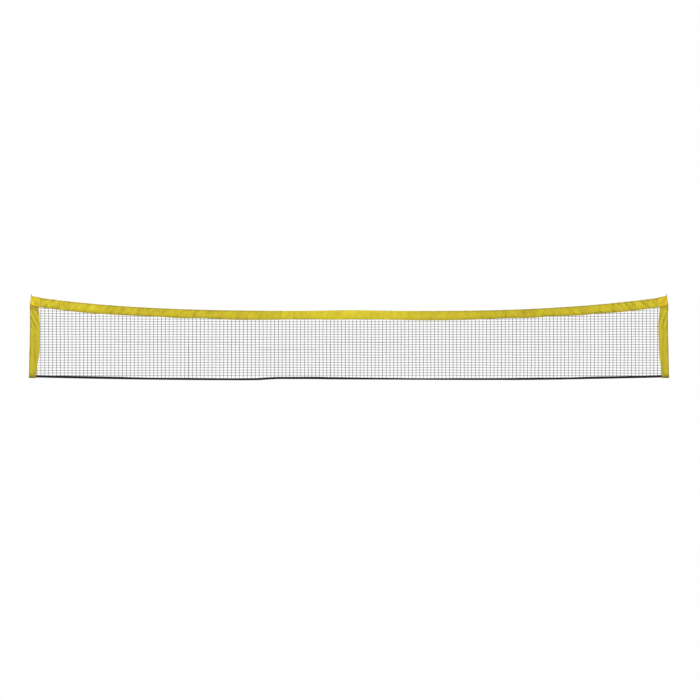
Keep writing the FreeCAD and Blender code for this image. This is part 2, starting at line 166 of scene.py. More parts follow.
def tape_depth(x):
    """Height of the tape, which rolls and narrows where it hangs slack right of the middle."""
    return value_at(((-2.9, TAPE_HEIGHT), (-2.2, TAPE_HEIGHT), (-2.05, 0.0206), (-1.85, 0.0197),
                     (-1.6, 0.0212), (-1.1, 0.0198), (-0.9, 0.0212), (-0.5, 0.0216),
                     (-0.33, 0.0232), (-0.1, 0.0220), (0.1, 0.0196), (0.43, 0.0174),
                     (0.62, 0.0160), (0.85, 0.0170), (1.05, 0.0186), (1.38, 0.0190),
                     (1.6, 0.0210), (1.8, 0.0218), (2.0, 0.0200), (2.15, 0.0200),
                     (2.34, 0.0228), (2.55, 0.0222), (2.9, TAPE_HEIGHT)), x)


def across_line(line, x):
    """Unit vector across the line at x, pointing up."""
    step = 0.002
    return Vector((-(line(x + step) - line(x - step)) / (2 * step), 0, 1)).normalized()


band_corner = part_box("top_band")[1].x
BAND_REACH = band_corner + BAND_HEIGHT * across_line(band_line, band_corner).x

# Makers: sheets of cloth, strands, stitches

def finish_piece(name, mesh, material):
    """A finished piece of the net's own body."""
    piece = bpy.data.objects.new(name, mesh)
    bpy.context.scene.collection.objects.link(piece)
    mesh.materials.clear()
    mesh.materials.append(material)
    mesh.shade_smooth()
    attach(piece, "net")
    return piece


def lengths_along(points):
    """Distance of each point from the first, along the line of points."""
    lengths = [0.0]
    for a, b in zip(points, points[1:]):
        lengths.append(lengths[-1] + (b - a).length)
    return lengths


def cloth(name, rows, material, tone, hole=None):
    """Sheet whose rows are sections from edge to edge; it is thickened behind its face.

    The weave is laid by the cloth's own lengths, across from each row's middle."""
    across, along = len(rows[0]) - 1, len(rows) - 1
    wides = [lengths_along(row) for row in rows]
    longs = [lengths_along([row[i] for row in rows]) for i in range(across + 1)]
    bm = bmesh.new()
    uv = bm.loops.layers.uv.new("UVMap")
    # The tone layer holds the sheet's painted light and shade, and random unevenness
    shade = bm.verts.layers.float.new("tone")
    bmesh.ops.create_grid(bm, x_segments=across, y_segments=along, size=1)
    for vert in bm.verts:
        u, v = (vert.co.x + 1) / 2, (vert.co.y + 1) / 2
        i, j = round(u * across), round(v * along)
        for loop in vert.link_loops:
            loop[uv].uv = (wides[j][i] - wides[j][across // 2], longs[i][j])
        vert[shade] = tone(u, v)
        vert.co = rows[j][i]
    bmesh.ops.remove_doubles(bm, verts=bm.verts, dist=0.00002)
    if hole:
        cut_hole(bm, *hole)
    mesh = bpy.data.meshes.new(name)
    bm.to_mesh(mesh)
    bm.free()
    piece = finish_piece(name, mesh, material)
    wall = piece.modifiers.new("wall", "SOLIDIFY")
    wall.thickness = CLOTH
    wall.offset = -1
    return piece


def cut_hole(bm, centre, radius):
    """Round hole about the upright line through centre, in the cloth near it."""
    def off_axis(place):
        return math.hypot(place.x - centre.x, place.y - centre.y)

    inside = [f for f in bm.faces if abs(f.calc_center_median().z - centre.z) < 0.004
              and off_axis(f.calc_center_median()) < radius]
    bmesh.ops.delete(bm, geom=inside, context="FACES")
    for vert in bm.verts:
        reach = off_axis(vert.co)
        if vert.is_boundary and abs(vert.co.z - centre.z) < 0.004 and reach < radius * 1.6:
            vert.co.x = centre.x + (vert.co.x - centre.x) * radius / reach
            vert.co.y = centre.y + (vert.co.y - centre.y) * radius / reach


def folded(walls, fold):
    """Section down one wall to its edge at the fold and back along the other wall."""
    return walls[0] + [fold] + walls[1][::-1]


def mirrored_rows(rows):
    """The same sheet for the right end, still facing outwards."""
    return [[Vector((-p.x, p.y, p.z)) for p in reversed(row)] for row in rows]


def strands(name, runs, radius, material, rounds=0):
    """Round strands: each run is a list of (point, share of the radius)."""
    line = bpy.data.curves.new(name, "CURVE")
    line.dimensions = "3D"
    line.bevel_depth = radius
    line.bevel_resolution = rounds
    line.use_fill_caps = True
    for run in runs:
        spline = line.splines.new("POLY")
        spline.points.add(len(run) - 1)
        for knot, (point, share) in zip(spline.points, run):
            knot.co = (*point, 1)
            knot.radius = share
    carrier = bpy.data.objects.new(name + "_line", line)
    bpy.context.scene.collection.objects.link(carrier)
    graph = bpy.context.evaluated_depsgraph_get()
    mesh = bpy.data.meshes.new_from_object(carrier.evaluated_get(graph))
    bpy.data.objects.remove(carrier)
    bpy.data.curves.remove(line)
    return finish_piece(name, mesh, material)


def on_cloth(rows, i, j):
    """Point and outward direction at column i and row j, which may be fractions."""
    i = min(max(i, 0.0), len(rows[0]) - 1.001)
    j = min(max(j, 0.0), len(rows) - 1.001)
    a, b = int(i), int(j)
    low = rows[b][a].lerp(rows[b][a + 1], i - a)
    high = rows[b + 1][a].lerp(rows[b + 1][a + 1], i - a)
    facing = (rows[b][a + 1] - rows[b][a]).cross(rows[b + 1][a] - rows[b][a])
    return low.lerp(high, j - b), facing.normalized()


def seam(rows, start, end):
    """Stitches on the cloth from one (column, row) place to another."""
    def place(t):
        column = start[0] + (end[0] - start[0]) * t
        return on_cloth(rows, column, start[1] + (end[1] - start[1]) * t)

    corners = [place(step / 40)[0] for step in range(41)]
    count = max(int(lengths_along(corners)[-1] / STITCH_PITCH), 2)
    runs = []
    for k in range(count):
        run = []
        for share, lift, size in ((0.08, -0.4, 0.6), (0.3, 0.7, 1.0), (0.62, 0.7, 1.0),
                                  (0.84, -0.4, 0.6)):
            point, facing = place((k + share) / count)
            run.append((point + facing * (lift * STITCH_R), size))
        runs.append(run)
    return runs


# Materials

def add(tree, kind, inputs=(), **settings):
    """A node with its settings; inputs maps a socket's name or number to a value or a socket."""
    made = tree.nodes.new(kind)
    for key, value in settings.items():
        setattr(made, key, value)
    for key, value in dict(inputs).items():
        if isinstance(value, bpy.types.NodeSocket):
            tree.links.new(value, made.inputs[key])
        else:
            made.inputs[key].default_value = value
    return made


def colour(hex_code):
    """Linear colour of a plain RGB code."""
    parts = [int(hex_code[i:i + 2], 16) / 255 for i in (0, 2, 4)]
    return (*[p / 12.92 if p <= 0.04045 else ((p + 0.055) / 1.055) ** 2.4 for p in parts], 1)


def new_material(name, **sockets):
    material = bpy.data.materials.new(name)
    material.use_nodes = True
    surface = material.node_tree.nodes["Principled BSDF"]
    for key, value in sockets.items():
        surface.inputs[key.replace("_", " ")].default_value = value
    return material, material.node_tree, surface


def mixed(tree, share, first, second):
    """Two colours, or colour outputs, mixed by a share."""
    return add(tree, "ShaderNodeMix", {0: share, 6: first, 7: second}, data_type="RGBA").outputs[2]


def maths(tree, operation, first, second, clamp=False):
    made = add(tree, "ShaderNodeMath", {0: first, 1: second}, operation=operation, use_clamp=clamp)
    return made.outputs[0]


def relief(tree, surface, height, strength, distance):
    """Bump on the surface's normal."""
    made = add(tree, "ShaderNodeBump",
               {"Strength": strength, "Distance": distance, "Height": height})
    tree.links.new(made.outputs[0], surface.inputs["Normal"])


def mottle(tree, place, scale, low, high):
    """Soft noise between two levels."""
    cloud = add(tree, "ShaderNodeTexNoise", {"Vector": place, "Scale": scale, "Detail": 5.0})
    return add(tree, "ShaderNodeMapRange",
               {0: cloud.outputs["Fac"], 1: 0.3, 2: 0.7, 3: low, 4: high}).outputs[0]


def weave_height(tree, place, pitch):
    """Plain weave: two sets of threads that cross."""
    def threads(direction):
        return add(tree, "ShaderNodeTexWave", {"Vector": place, "Scale": math.pi / (10 * pitch)},
                   wave_type="BANDS", bands_direction=direction).outputs["Fac"]

    return maths(tree, "MULTIPLY", threads("X"), threads("Y"))


def woven(name, dark, base, light, pitch=WEAVE, warm=None, roughness=0.72, bump=0.35):
    """Woven cloth: threads, soft unevenness, painted shade in the gaps between threads, and the
    tone's painted light and shade along folds and seams.
    """
    material, tree, surface = new_material(name, Roughness=roughness, Sheen_Weight=0.05,
                                           Sheen_Roughness=0.5, Specular_IOR_Level=0.25)
    thread_place = add(tree, "ShaderNodeUVMap", uv_map="UVMap").outputs[0]
    place = add(tree, "ShaderNodeTexCoord").outputs["Object"]
    # tone carries the sheet's painted light and shade, and random unevenness
    tone = add(tree, "ShaderNodeAttribute", attribute_name="tone").outputs["Fac"]
    height = weave_height(tree, thread_place, pitch)
    level = maths(tree, "ADD", tone, mottle(tree, place, 9.0, -0.13, 0.13))
    level = maths(tree, "ADD", level, mottle(tree, place, 60.0, -0.08, 0.08), clamp=True)
    ramp = add(tree, "ShaderNodeValToRGB", {"Fac": level})
    ramp.color_ramp.elements[0].color = colour(dark)
    ramp.color_ramp.elements[1].color = colour(light)
    ramp.color_ramp.elements.new(0.5).color = colour(base)
    face = ramp.outputs["Color"]
    if warm:
        face = mixed(tree, mottle(tree, place, 17.0, 0.0, 0.6), face, colour(warm))
    # The gaps between the threads are painted darker, as shade
    gap_shade = add(tree, "ShaderNodeMapRange", {0: height, 1: 0.0, 2: 0.4, 3: 0.16, 4: 0.0})
    tree.links.new(mixed(tree, gap_shade.outputs[0], face, colour(dark)), surface.inputs["Base Color"])
    tree.links.new(mottle(tree, place, 30.0, roughness - 0.08, roughness + 0.08),
                   surface.inputs["Roughness"])
    relief(tree, surface, height, bump, 0.0004)
    return material


def braided(name, dark, light, pitch):
    """Braided yarn: slanting ridges and stray lighter fibres."""
    material, tree, surface = new_material(name, Roughness=0.6, Specular_IOR_Level=0.3)
    place = add(tree, "ShaderNodeTexCoord").outputs["Object"]
    ridges = add(tree, "ShaderNodeTexWave", {"Vector": place, "Scale": math.pi / (10 * pitch),
                                             "Distortion": 0.4}, bands_direction="DIAGONAL")
    fibres = maths(tree, "MULTIPLY", ridges.outputs["Fac"], mottle(tree, place, 260.0, 0.0, 1.0))
    tree.links.new(mixed(tree, fibres, colour(dark), colour(light)), surface.inputs["Base Color"])
    relief(tree, surface, ridges.outputs["Fac"], 0.5, 0.0005)
    return material


def metal(name, base, worn, roughness, spangle, bump=0.1):
    """Metal with a faint crystal pattern, handling marks and uneven polish."""
    material, tree, surface = new_material(name, Metallic=1.0, Roughness=roughness)
    place = add(tree, "ShaderNodeTexCoord").outputs["Object"]
    crystals = add(tree, "ShaderNodeTexVoronoi", {"Vector": place, "Scale": spangle})
    marks = mottle(tree, place, 60.0, 0.0, 1.0)
    wear = maths(tree, "MULTIPLY", crystals.outputs["Distance"], marks)
    tree.links.new(mixed(tree, wear, colour(base), colour(worn)), surface.inputs["Base Color"])
    tree.links.new(mottle(tree, place, 90.0, roughness - 0.08, roughness + 0.12),
                   surface.inputs["Roughness"])
    relief(tree, surface, marks, bump, 0.0003)
    return material


def coated(name, base, light, grain, roughness, bump):
    """Even paint or moulded plastic with a fine grain."""
    material, tree, surface = new_material(name, Roughness=roughness)
    place = add(tree, "ShaderNodeTexCoord").outputs["Object"]
    tree.links.new(mixed(tree, mottle(tree, place, 40.0, 0.0, 0.6), colour(base), colour(light)),
                   surface.inputs["Base Color"])
    tree.links.new(mottle(tree, place, 70.0, roughness - 0.07, roughness + 0.07),
                   surface.inputs["Roughness"])
    relief(tree, surface, mottle(tree, place, grain, 0.0, 1.0), bump, 0.0002)
    return material


# The dark end of each cloth ramp is the colour of its painted shade, and the light end that of its
# painted light
yellow_band = woven("yellow_band", "8b8012", "c9be1a", "e8dc2e", warm="cfae34")
yellow_sleeve = woven("yellow_sleeve", "86741a", "bfb61e", "dfd42c", warm="c6a832")
yellow_patch = woven("yellow_patch", "92781c", "d6c524", "eade2a", warm="d8ac2a")
olive_hem = woven("olive_hem", "6a5c18", "96872a", "bdb030")
black_webbing = woven("black_webbing", "0c0a0b", "1a1718", "2e2b2c", WEBBING,
                      roughness=0.75, bump=0.6)
yellow_thread = braided("yellow_thread", "a2951f", "dccf3c", 0.0006)
black_thread = braided("black_thread", "141213", "3a3637", 0.0006)
net_yarn = braided("net_yarn", "0b0a0a", "262424", 0.0012)
cord_yarn = braided("cord_yarn", "121112", "383536", 0.0016)
tube_paint = coated("tube_paint", "b9bbba", "c9cac8", 900.0, 0.38, 0.15)
plug_plastic = coated("plug_plastic", "1f1f1f", "343433", 700.0, 0.55, 0.3)
pin_metal = metal("pin_metal", "a39b88", "6d6554", 0.34, 300.0)
nickel = metal("nickel", "c3bfb4", "8c877a", 0.28, 300.0)
crimp_metal = metal("crimp_metal", "c4c4c2", "8f8f8b", 0.35, 260.0, bump=0.3)

# Camera, light and floor

VIEW_WIDTH = 6.685
VIEW_X, VIEW_Z = 0.0096, -0.1234
FLOOR_DROP = 0.02
FLOOR_SIZE = 90

lens = bpy.data.cameras.new("camera")
lens.type = "ORTHO"
lens.ortho_scale = VIEW_WIDTH
lens.clip_end = 200
camera = bpy.data.objects.new("camera", lens)
camera.location = (VIEW_X, -20, VIEW_Z)
camera.rotation_euler = (math.pi / 2, 0, 0)
bpy.context.scene.collection.objects.link(camera)
bpy.context.scene.camera = camera
bpy.context.scene.view_settings.view_transform = "Standard"


def soft_lamp(name, place, power, wide):
    lamp = bpy.data.lights.new(name, "AREA")
    lamp.energy = power
    lamp.shape = "RECTANGLE"
    lamp.size, lamp.size_y = wide
    holder = bpy.data.objects.new(name, lamp)
    holder.location = place
    holder.rotation_euler = (-Vector(place)).to_track_quat("-Z", "Y").to_euler()
    bpy.context.scene.collection.objects.link(holder)


soft_lamp("key_lamp", (-4.5, -6.0, 6.5), 420, (5, 3))
soft_lamp("fill_lamp", (6.5, -5.0, 3.0), 120, (5, 4))
soft_lamp("back_lamp", (1.5, 7.0, 5.0), 260, (6, 3))


def seen_share(tree):
    """1 where the background is seen, directly or in metal, and 0 where it only gives light."""
    rays = add(tree, "ShaderNodeLightPath").outputs
    seen = maths(tree, "MAXIMUM", rays["Is Camera Ray"], rays["Is Glossy Ray"])
    return maths(tree, "MAXIMUM", seen, rays["Is Transmission Ray"])


world = bpy.data.worlds.new("studio")
world.use_nodes = True
bpy.context.scene.world = world
tree = world.node_tree
strength = add(tree, "ShaderNodeMapRange", {0: seen_share(tree), 3: 0.52, 4: 1.0})
backdrop = tree.nodes["Background"]
backdrop.inputs["Color"].default_value = (1, 1, 1, 1)
tree.links.new(strength.outputs[0], backdrop.inputs["Strength"])

bm = bmesh.new()
bmesh.ops.create_grid(bm, x_segments=1, y_segments=1, size=FLOOR_SIZE)
bmesh.ops.translate(bm, vec=(0, 0, LOW_Z - FLOOR_DROP), verts=bm.verts)
floor_mesh = bpy.data.meshes.new("floor")
bm.to_mesh(floor_mesh)
bm.free()
floor = bpy.data.objects.new("floor", floor_mesh)
bpy.context.scene.collection.objects.link(floor)
pale, tree, surface = new_material("pale_floor", Roughness=0.8)
ground = add(tree, "ShaderNodeTexCoord").outputs["Object"]
tint = mottle(tree, ground, 0.6, 0.0, 1.0)
tree.links.new(mixed(tree, tint, colour("f1f1ef"), colour("f6f6f4")), surface.inputs["Base Color"])
# Away from the net and its shadow the floor fades into the white background
squeezed = add(tree, "ShaderNodeMapping", {"Vector": ground, "Scale": (0.14, 0.22, 0)})
away = add(tree, "ShaderNodeVectorMath", {0: squeezed.outputs[0]}, operation="LENGTH")
fade = add(tree, "ShaderNodeMapRange", {0: away.outputs["Value"], 1: 0.5, 2: 1.0},
           interpolation_type="SMOOTHSTEP")
white_share = maths(tree, "MULTIPLY", fade.outputs[0], seen_share(tree))
white = add(tree, "ShaderNodeEmission", {"Strength": 1.0})
blend = add(tree, "ShaderNodeMixShader",
            {0: white_share, 1: surface.outputs[0], 2: white.outputs[0]})
tree.links.new(blend.outputs[0], tree.nodes["Material Output"].inputs["Surface"])
floor_mesh.materials.append(pale)


# Top band: a strip folded over the head cord, with its mouth below over the net

BAND_ROWS = 760
BAND_CELLS = 36
BAND_LEVELS = (1.0, 0.88, 0.7, 0.52, 0.36, 0.22, 0.1, 0.035)
CREASES = (-1.600, -0.649, 0.774, 1.668)


def band_wrinkle(x, side, depth):
    """Slanting wrinkles, deepest towards the corners, and the cross creases of its folding."""
    tension = ease((abs(x) - 1.9) / 0.9)
    slant = x + 0.05 * depth * (1 if x < 0 else -1)
    wave = ruffle(slant * 24.0, depth * 1.2, side * 5.0)
    wave += 0.5 * ruffle(slant * 60.0, depth * 2.5, side * 9.0)
    wave *= 0.6 + 0.7 * tension
    crease = sum(bell(x, place + 0.004 * depth, 0.0045) for place in CREASES)
    return wave, crease


def band_half(x, side, depth):
    """Half-depth of the band on one side (-1 front, +1 back) at a share of its height."""
    puff = 0.85 + 0.3 * ruffle(x * 5.0, side * 3.1, 1.7)
    half = MOUTH + (BULGE - MOUTH) * puff * math.sqrt(math.sin(math.pi * min(depth + 0.02, 1.0)))
    free = math.sin(math.pi * min(depth, 1.0)) ** 0.6
    wave, crease = band_wrinkle(x, side, depth)
    return max(half + free * (0.0017 * wave - 0.0014 * crease), MOUTH * min(depth / 0.06, 0.95))


def band_rows():
    """Sections of the band, which hang from its top fold."""
    rows = []
    for j in range(BAND_ROWS + 1):
        x = -BAND_REACH + 2 * BAND_REACH * j / BAND_ROWS
        up = across_line(band_line, x)
        top = Vector((x, 0, band_line(x)))
        height = band_depth(x) + 0.0008 * ruffle(x * 20.0, 8.0)
        walls = [[top - up * (height * depth) + Vector((0, side * band_half(x, side, depth), 0))
                  for depth in BAND_LEVELS] for side in (1, -1)]
        rows.append(smooth_path(folded(walls, top), BAND_CELLS))
    return rows


def band_light_and_shade(u, v):
    """Painted light at mid span and a little near the ends; painted shade along the lower seam, in
    the dips and at the creases.
    """
    x = (v * 2 - 1) * BAND_REACH
    fold = 1 - abs(u * 2 - 1)
    wave, crease = band_wrinkle(x, 1 if u < 0.5 else -1, 1 - fold)
    # Painted light at mid span and near the ends
    middle = bell(x, 0.06, 0.66)
    tone = 0.48 + 0.40 * middle + 0.08 * bell(abs(x), 2.75, 0.35)
    # Painted shade along the lower seam, along the top fold away from mid span, and in the
    # wrinkles and creases
    tone -= (0.34 - 0.14 * middle) * (1 - ease((fold - 0.02) / 0.34))
    tone -= 0.40 * (1 - middle) * ease((fold - 0.78) / 0.14)
    return tone + 0.45 * wave - 0.24 * crease


band = band_rows()
top_band = cloth("band_cloth", band, yellow_band, band_light_and_shade)
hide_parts("top_band")
band_runs = []
for column in (1.1, 2.6, BAND_CELLS - 2.6, BAND_CELLS - 1.1):
    band_runs += seam(band, (column, 0), (column, BAND_ROWS))
band_stitches = strands("band_stitches", band_runs, STITCH_R, yellow_thread)

# Head cord: it lies in the band's fold and ends in an eye round each pin

head_run = []
cord_end = POLE_X - EYE_R
for j in range(301):
    x = cord_end * (j / 150 - 1)
    sunk = across_line(band_line, x) * -FOLD
    head_run.append((Vector((x, 0, band_line(x))) + sunk, 1.0))
eyes = []
for end in (head_run[0][0], head_run[-1][0]):
    axis = math.copysign(POLE_X, end.x)
    turns = [step * math.pi / 16 for step in range(33)]
    eyes.append([(Vector((axis + EYE_R * math.cos(turn), EYE_R * math.sin(turn), end.z)), 1.0)
                 for turn in turns])
head_cord = strands("head_cord", [head_run] + eyes, CORD_R, cord_yarn, rounds=2)
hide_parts("headline_cord")

# Bottom tape: black webbing folded up over the foot cord

TAPE_ROWS = 600
TAPE_CELLS = 18
TAPE_HALVES = ((1.0, MOUTH), (0.8, 0.0031), (0.5, 0.0035), (0.2, FOLD))
TAPE_SEWN = TAPE_REACH + 0.0105
FOOT_CORD_END = TAPE_REACH - 0.022


def tape_rows():
    """Sections of the tape, whose ends are pressed flat in the mouths of the sleeves."""
    rows = []
    for j in range(TAPE_ROWS + 1):
        x = -TAPE_SEWN + 2 * TAPE_SEWN * j / TAPE_ROWS
        round_share = 1 - ease((abs(x) - TAPE_REACH + 0.03) / 0.026)
        up = across_line(tape_line, x)
        foot = Vector((x, 0, tape_line(x)))
        wave = 0.0003 * ruffle(x * 12.0, 2.0)
        tall, pressed = tape_depth(x), 2 * CLOTH
        halves = [(height, pressed + (half + wave - pressed) * round_share)
                  for height, half in TAPE_HALVES]
        walls = [[foot + up * (tall * height) + Vector((0, side * half, 0))
                  for height, half in halves] for side in (-1, 1)]
        rows.append(smooth_path(folded(walls, foot), TAPE_CELLS))
    return rows


def tape_tone(u, v):
    """Uneven wear of black cloth."""
    x = (v * 2 - 1) * TAPE_SEWN
    return 0.42 + 0.3 * ruffle(x * 9.0, u, 6.0)


tape = tape_rows()
tape_cloth = cloth("tape_cloth", tape, black_webbing, tape_tone)
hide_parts("bottom_tape")
tape_runs = []
for column in (1.6, TAPE_CELLS - 1.6):
    tape_runs += seam(tape, (column, 0), (column, TAPE_ROWS))
tape_stitches = strands("tape_stitches", tape_runs, STITCH_R, black_thread)

foot_run = []
for j in range(241):
    x = FOOT_CORD_END * (j / 120 - 1)
    foot_run.append((Vector((x, 0, tape_line(x) + FOLD)), 1.0))
foot_cord = strands("foot_cord", [foot_run], CORD_R, cord_yarn, rounds=2)
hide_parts("bottom_cord")

# Sleeves: a flat cloth tube, round at the pole and sewn flat at the net. Each is drawn
# as the left one, and the right one is mirrored.

SLEEVE_ROWS = 190
SLEEVE_CELLS = 64
SLEEVE_HALF = POLE_R + 0.0015
SLEEVE_WIDTHS = ((0, 0.0815), (0.064, 0.0815), (0.198, 0.0955), (0.378, 0.0955),
                 (0.508, 0.0877), (0.6758, 0.0686), (0.7078, 0.065))
NET_SIDE_SWELL = {
    "left": ((0, 0.006), (0.06, 0.005), (0.12, 0.003), (0.2, 0.0), (0.36, 0.001),
             (0.44, 0.006), (0.5, 0.005), (0.56, 0.0005), (0.66, 0.001), (0.71, 0.002)),
    "right": ((0, 0.005), (0.06, 0.003), (0.12, -0.001), (0.25, -0.003), (0.36, -0.0045),
              (0.45, -0.0015), (0.56, 0.0), (0.66, -0.001), (0.71, 0.002))}
OUTER_SWELL = {"left": 0.0012, "right": 0.0036}
# Base tone of each sleeve; the right one is painted lighter, since the key lamp lights the left
# one more
SLEEVE_PAINTED_LIGHT = {"left": 0.52, "right": 0.58}
REACH_TOP, REACH_FOOT = 0.016, 0.025
BELLY_DROP = 0.198


def sleeve_reach(drop, side):
    """Distance of the sleeve's outer edge from the pole's axis."""
    outward = ease((drop - BELLY_DROP) / (SLEEVE_LENGTH - BELLY_DROP))
    swell = OUTER_SWELL[side] * bell(drop, 0.045, 0.03)
    return REACH_TOP + (REACH_FOOT - REACH_TOP) * outward + swell


def net_edge(drop, side):
    """Distance of the sleeve's sewn edge from the pole's axis."""
    swell = value_at(NET_SIDE_SWELL[side], drop)
    return value_at(SLEEVE_WIDTHS, drop) - sleeve_reach(drop, side) + swell


def sleeve_wrinkle(across, drop, face, side):
    """Gathers under the corner patch, slanting wrinkles below them, then long upright folds."""
    lean = 0.53 if side == "left" else 0.34
    seed = face * 2.0 + (0.0 if side == "left" else 7.0)
    bend = 0.006 * ruffle(drop * 14.0, across * 10.0, seed)
    slant = math.cos(2 * math.pi * (across - lean * drop + 0.0543 + bend) / 0.045)
    slant *= bell(drop, 0.15, 0.10)
    level = drop - 0.22 * across
    gather = -(bell(level, 0.021, 0.006) + 0.9 * bell(level, 0.047, 0.009))
    gather += 0.6 * bell(level, 0.034, 0.006)
    upright = math.cos(2 * math.pi * (across - 0.008 + 0.004 * ruffle(drop * 6.0, seed)) / 0.052)
    upright *= ease((drop - 0.10) / 0.15) * (0.75 + 0.5 * ruffle(drop * 5.0, across * 12.0, seed))
    fine = ruffle(across * 60.0, drop * 18.0, seed)
    foot = math.sin(90 * (drop + across * 0.7)) * ease((drop - 0.62) / 0.08)
    return slant + gather, upright, fine + 0.6 * foot


def sleeve_section(drop, side, grow=0.0, steps=SLEEVE_CELLS):
    """Section from the front of the sewn edge round the pole to the back of that edge."""
    reach, inner = sleeve_reach(drop, side) + grow, net_edge(drop, side) + grow
    half, mouth = SLEEVE_HALF + grow, MOUTH + grow
    back = reach - half
    level = SLEEVE_TOP - drop
    walls = []
    for face in (-1, 1):
        wall = []
        for share in (1.0, 0.9, 0.75, 0.6, 0.45, 0.3, 0.15, 0.02):
            a = inner * share
            depth = mouth + (half - mouth) * (1 - share) ** 0.9
            sharp, upright, fine = sleeve_wrinkle(a, drop, face, side)
            free = math.sin(math.pi * min(share * 0.9 + 0.1, 1.0)) ** 0.7
            depth += free * (0.0020 * sharp + 0.0012 * upright + 0.0007 * fine)
            depth = max(depth, mouth, math.sqrt(max(SLEEVE_HALF ** 2 - a ** 2, 0)))
            if level > patch_low(a) - 0.003:
                depth = min(depth, patch_half(a) - CLOTH - 0.0003)
            wall.append(Vector((a - POLE_X, face * depth, level)))
        wall.append(Vector((-back * 0.6 - POLE_X, face * half, level)))
        wall.append(Vector((-back - half * 0.7 - POLE_X, face * half * 0.7, level)))
        walls.append(wall)
    return smooth_path(folded(walls, Vector((-reach - POLE_X, 0, level))), steps)


def sleeve_light_and_shade(side):
    """Tone of one sleeve, painted light and shade: shade in its folds, at its outer and sewn
    edges, under the patch and towards the hem.
    """
    def tone(u, v):
        drop = v * SLEEVE_LENGTH
        face = -1 if (u < 0.5) == (side == "left") else 1
        share = 1 - abs(u * 2 - 1)
        width = net_edge(drop, side) + sleeve_reach(drop, side)
        across = net_edge(drop, side) - width * min(share * 1.07, 1.0)
        sharp, upright, fine = sleeve_wrinkle(across, drop, face, side)
        shade = SLEEVE_PAINTED_LIGHT[side] + 0.30 * sharp + 0.18 * upright + 0.12 * fine
        # Painted shade in the folds and where the cloth turns at its outer and sewn edges
        shade -= 0.18 * (1 - ease(share / 0.12)) + 0.20 * ease((share - 0.78) / 0.12)
        # Painted shade under the corner patch and towards the hem at the foot
        shade -= 0.30 * (1 - ease((drop - 0.035) / 0.025))
        return shade - 0.16 * ease((drop - 0.64) / 0.06)

    return tone


# Hems: a binding folded round the foot of each sleeve

HEM_TOP, HEM_GROW = 0.0335, 0.0013
HEM_CELLS = 64


def hem_rows(side):
    """Rows run round the foot; each goes down the outside and turns in under the edge."""
    top = SLEEVE_LENGTH - HEM_TOP
    rings = [sleeve_section(top + (HEM_TOP + 0.0004) * k / 9, side, HEM_GROW, HEM_CELLS)
             for k in range(10)]
    turned_under = Vector((0, 0, -0.0013))
    for grow, sink in ((HEM_GROW * 0.6, 1.0), (-0.0012, 0.9)):
        ring = sleeve_section(SLEEVE_LENGTH, side, grow, HEM_CELLS)
        rings.append([p + turned_under * sink for p in ring])
    return rings


def hem_light_and_shade(u, v):
    """Painted light and shade: lightest along its stitches and at the net's side, darkest at the
    lower fold, where it turns under.
    """
    outward = 1 - abs(u * 2 - 1)
    uneven = 0.25 * ruffle(u * 8.0, v * 3.0, 1.0)
    return 1.0 - 0.85 * ease(v / 0.8) - 0.15 * ease(outward / 0.6) + uneven


# Corner patches: a pocket folded over the top of the pole and the end of the band

PATCH_ROWS = 100
PATCH_CELLS = 84
PATCH_LOW = PATCH_TOP - 0.088
PATCH_OVER = 0.0013
PATCH_HALF = SLEEVE_HALF + PATCH_OVER
CROWN_HALF = 0.0084
CROWN_FLAT = 0.0068
PATCH_LIP = 0.005
PATCH_OUTLINE = ((-0.0173, 0.314), (-0.0160, 0.322), (-0.0128, 0.344), (-0.0098, 0.368),
                 (-0.0085, 0.383), (-CROWN_FLAT, 0.3916))


def patch_top(a):
    """Height of the pocket's upper edge at a distance inwards from the pin."""
    edge = band_line(POLE_X - PATCH_END) + PATCH_OVER
    if a > CROWN_FLAT:
        share = (a - CROWN_FLAT) / (PATCH_END - CROWN_FLAT)
        return PATCH_TOP - (PATCH_TOP - edge) * share + 0.0016 * math.sin(math.pi * share)
    if a > -CROWN_FLAT:
        return PATCH_TOP
    return value_at(PATCH_OUTLINE, a)


def patch_low(a):
    """Height of the pocket's lower edge."""
    edge = patch_top(PATCH_END) - BAND_HEIGHT - PATCH_LIP
    share = (a + PATCH_REACH) / (PATCH_END + PATCH_REACH)
    return PATCH_LOW + (edge - PATCH_LOW) * share + 0.0012 * math.sin(9 * share)


def patch_half(a):
    """Half-depth of the pocket in plan."""
    if a < -PATCH_REACH + PATCH_HALF:
        share = (a + PATCH_REACH) / PATCH_HALF
        return PATCH_HALF * math.sqrt(max(1 - (1 - share) ** 2, 0.0))
    if a < 0:
        return PATCH_HALF
    return PATCH_HALF + (BULGE + PATCH_OVER - PATCH_HALF) * a / PATCH_END


def patch_wrinkle(a, level, face):
    """Soft pulls from the pin and small folds over the lower edge."""
    below = PATCH_TOP - level
    pull = math.sin(9 * math.atan2(a + 0.02, below + 0.03) + face)
    rise = level - patch_low(a)
    folds = math.cos(2 * math.pi * rise / 0.019) * (1 - ease(rise / 0.045))
    return 0.5 * pull + ruffle(a * 42.0, level * 42.0, face * 3.0), folds


